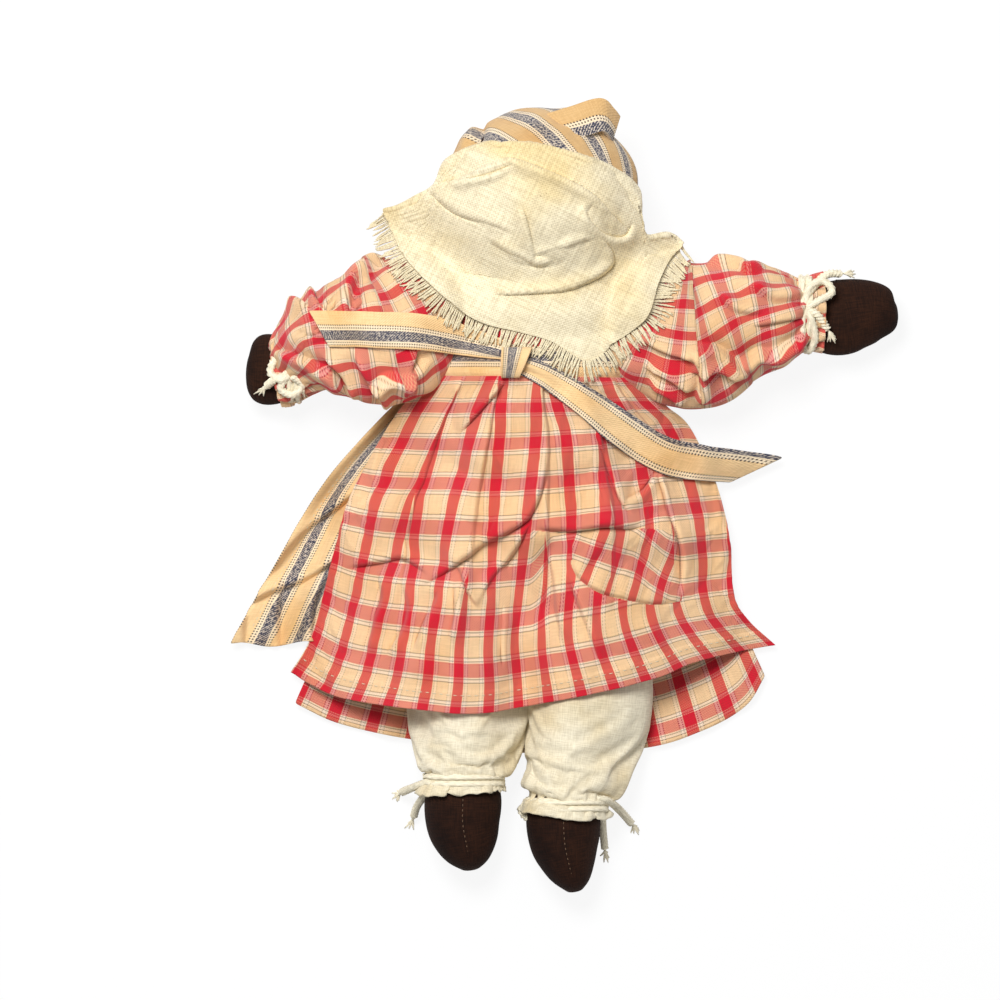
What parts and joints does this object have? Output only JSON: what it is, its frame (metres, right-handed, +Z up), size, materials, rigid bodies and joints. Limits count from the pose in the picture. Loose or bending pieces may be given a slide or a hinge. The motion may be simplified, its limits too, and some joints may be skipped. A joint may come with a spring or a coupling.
{
  "type": "primitive cloth doll",
  "caption": "Stuffed cloth doll lying on its front, in a checked dress with ticking apron and kerchief, fringed shawl, pantaloons and string ties; head, arms, hips and legs move at sewn joints.",
  "frame": {"origin": "on the floor, at the middle of the flat underside of the apron panel that the doll lies on", "axes": "+Y towards the head, along the longest extent; +Z up through the doll's back, the shortest extent; +X towards the doll's right hand"},
  "size_m": [0.3182, 0.379, 0.0745],
  "materials": {
    "muslin": "plain weave",
    "brown_cotton": "plain weave, matte",
    "ticking": "striped twill",
    "osnaburg": "coarse plain weave",
    "check": "woven check",
    "cotton": "plain weave",
    "string": "twisted string"
  },
  "bodies": {
    "torso": {"torso": "muslin", "bodice": "check", "apron_waistband": "ticking", "apron_panel": "ticking", "sash_knot": "ticking", "sash_tail_left": "ticking", "sash_tail_right": "ticking", "skirt_back": "check", "skirt_front": "check", "shawl": "osnaburg", "shawl_fringe": "osnaburg"},
    "head": {"head": "brown_cotton", "kerchief_wrap": "ticking", "kerchief_knot": "ticking", "kerchief_tail": "ticking"},
    "arm_left": {"arm_left": "brown_cotton", "sleeve_left": "check", "wrist_tie_left": "string"},
    "arm_right": {"arm_right": "brown_cotton", "sleeve_right": "check", "wrist_tie_right": "string"},
    "hips": {"pantaloon_seat": "cotton"},
    "leg_left": {"leg_left": "brown_cotton", "pantaloon_left": "cotton", "ankle_tie_left": "string"},
    "leg_right": {"leg_right": "brown_cotton", "pantaloon_right": "cotton", "ankle_tie_right": "string"}
  },
  "joints": [
    {"name": "neck_nod", "type": "hinge", "parent": "torso", "child": "head", "pos_m": [0.003, 0.104, 0.0241], "axis": [1, 0, 0], "range_deg": [0, 12], "deforming": ["shawl", "shawl_fringe"]},
    {"name": "left_shoulder", "type": "hinge", "parent": "torso", "child": "arm_left", "pos_m": [-0.051, 0.078, 0.0241], "axis": [0, 0, 1], "range_deg": [-12, 28], "deforming": ["sleeve_left", "sash_tail_left"]},
    {"name": "right_shoulder", "type": "hinge", "parent": "torso", "child": "arm_right", "pos_m": [0.057, 0.078, 0.0241], "axis": [0, 0, -1], "range_deg": [-12, 28], "deforming": ["sleeve_right"]},
    {"name": "hip_bend", "type": "hinge", "parent": "torso", "child": "hips", "pos_m": [0, 0.004, 0.0241], "axis": [-1, 0, 0], "range_deg": [0, 18], "deforming": ["skirt_back", "skirt_front", "sash_tail_right"]},
    {"name": "left_leg_splay", "type": "hinge", "parent": "hips", "child": "leg_left", "pos_m": [-0.026, -0.034, 0.0221], "axis": [0, 0, -1], "range_deg": [0, 10]},
    {"name": "right_leg_splay", "type": "hinge", "parent": "hips", "child": "leg_right", "pos_m": [0.026, -0.042, 0.0221], "axis": [0, 0, 1], "range_deg": [0, 10]}
  ]
}
